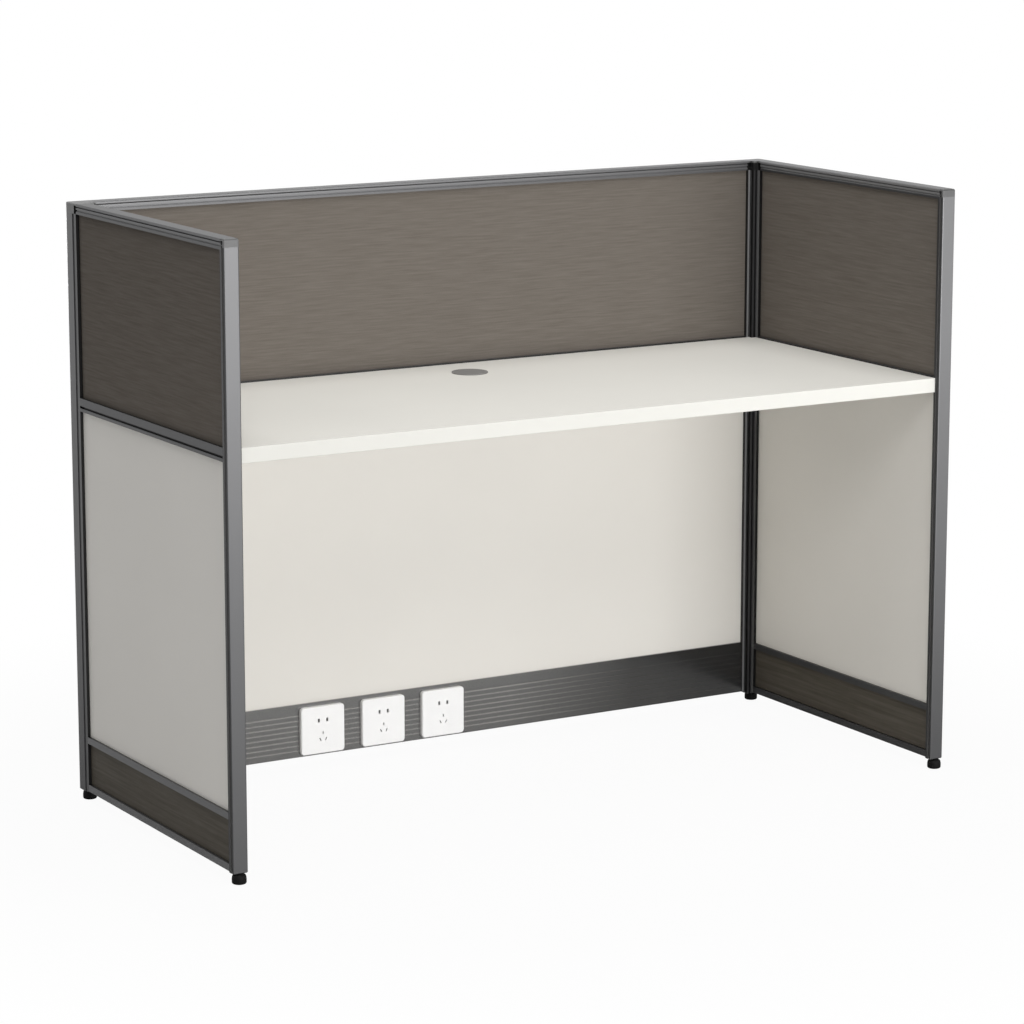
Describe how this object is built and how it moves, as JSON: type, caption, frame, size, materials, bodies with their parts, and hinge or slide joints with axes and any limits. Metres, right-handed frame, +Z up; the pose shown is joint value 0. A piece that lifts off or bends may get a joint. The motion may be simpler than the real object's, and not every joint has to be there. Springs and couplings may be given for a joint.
{
  "type": "cubicle workstation",
  "caption": "Cubicle workstation with framed screens at its back and sides, fabric above and white tiles below, a white worktop with a round grommet, and sockets in a ribbed raceway.",
  "frame": {"origin": "centre of the footprint at floor level", "axes": "+X to the right along the worktop as seen from the open front, +Y from the open front to the back screen, +Z up"},
  "size_m": [1.4, 0.6062, 1.03],
  "materials": {
    "frame_metal": "grey powder coat, satin",
    "cap_plastic": "fine matt texture",
    "fabric": "woven, matt, faint level ribs",
    "white_laminate": "laminated board, satin white",
    "skirting_wood": "dark brown laminate, matt",
    "raceway_metal": "ribbed, satin",
    "socket_plastic": "white, soft gloss",
    "socket_moulding": "moulded",
    "zinc_steel": "zinc plated",
    "foot_plastic": "black, matt",
    "cleat_metal": "grey painted sheet",
    "grommet_plastic": "grey, matt",
    "worktop_laminate": "white laminate, satin",
    "edge_plastic": "white edging, satin",
    "contact_brass": "plain"
  },
  "bodies": {
    "frame_body": {"back_fabric_tile": "fabric", "back_left_stile": "frame_metal", "back_mid_rail": "frame_metal", "back_right_stile": "frame_metal", "back_top_trim": "frame_metal", "back_white_tile": "white_laminate", "cleat_screws": "zinc_steel", "frame_screws": "zinc_steel", "grommet_sleeve": "grommet_plastic", "left_bottom_rail": "frame_metal", "left_corner_cap": "cap_plastic", "left_corner_post": "frame_metal", "left_end_cap": "cap_plastic", "left_end_post": "frame_metal", "left_fabric_tile": "fabric", "left_lower_rail": "frame_metal", "left_mid_rail": "frame_metal", "left_rear_stile": "frame_metal", "left_skirting_tile": "skirting_wood", "left_socket_body": "socket_moulding", "left_socket_plate": "socket_plastic", "left_top_trim": "frame_metal", "left_white_tile": "white_laminate", "left_worktop_cleat": "cleat_metal", "middle_socket_body": "socket_moulding", "middle_socket_plate": "socket_plastic", "raceway_front_cover": "raceway_metal", "raceway_rear_cover": "raceway_metal", "raceway_tray": "raceway_metal", "rear_worktop_cleat": "cleat_metal", "right_bottom_rail": "frame_metal", "right_corner_cap": "cap_plastic", "right_corner_post": "frame_metal", "right_end_cap": "cap_plastic", "right_end_post": "frame_metal", "right_fabric_tile": "fabric", "right_lower_rail": "frame_metal", "right_mid_rail": "frame_metal", "right_rear_stile": "frame_metal", "right_skirting_tile": "skirting_wood", "right_socket_body": "socket_moulding", "right_socket_plate": "socket_plastic", "right_top_trim": "frame_metal", "right_white_tile": "white_laminate", "right_worktop_cleat": "cleat_metal", "socket_contact_clips": "contact_brass", "socket_screws": "zinc_steel", "worktop": "worktop_laminate", "worktop_edge_band": "edge_plastic"},
    "front_left_levelling_foot": {"front_left_foot": "foot_plastic", "front_left_foot_stud": "zinc_steel"},
    "front_right_levelling_foot": {"front_right_foot": "foot_plastic", "front_right_foot_stud": "zinc_steel"},
    "back_left_levelling_foot": {"back_left_foot": "foot_plastic", "back_left_foot_stud": "zinc_steel"},
    "back_right_levelling_foot": {"back_right_foot": "foot_plastic", "back_right_foot_stud": "zinc_steel"},
    "grommet_lid_body": {"grommet_lid": "grommet_plastic"}
  },
  "joints": [
    {"name": "front_left_foot_height", "type": "slide", "parent": "frame_body", "child": "front_left_levelling_foot", "axis": [0, 0, -1], "range_m": [0, 0.012]},
    {"name": "front_right_foot_height", "type": "slide", "parent": "frame_body", "child": "front_right_levelling_foot", "axis": [0, 0, -1], "range_m": [0, 0.012]},
    {"name": "back_left_foot_height", "type": "slide", "parent": "frame_body", "child": "back_left_levelling_foot", "axis": [0, 0, -1], "range_m": [0, 0.012]},
    {"name": "back_right_foot_height", "type": "slide", "parent": "frame_body", "child": "back_right_levelling_foot", "axis": [0, 0, -1], "range_m": [0, 0.012]},
    {"name": "grommet_lid_lift", "type": "slide", "parent": "frame_body", "child": "grommet_lid_body", "axis": [0, 0, 1], "range_m": [0, 0.02]}
  ]
}
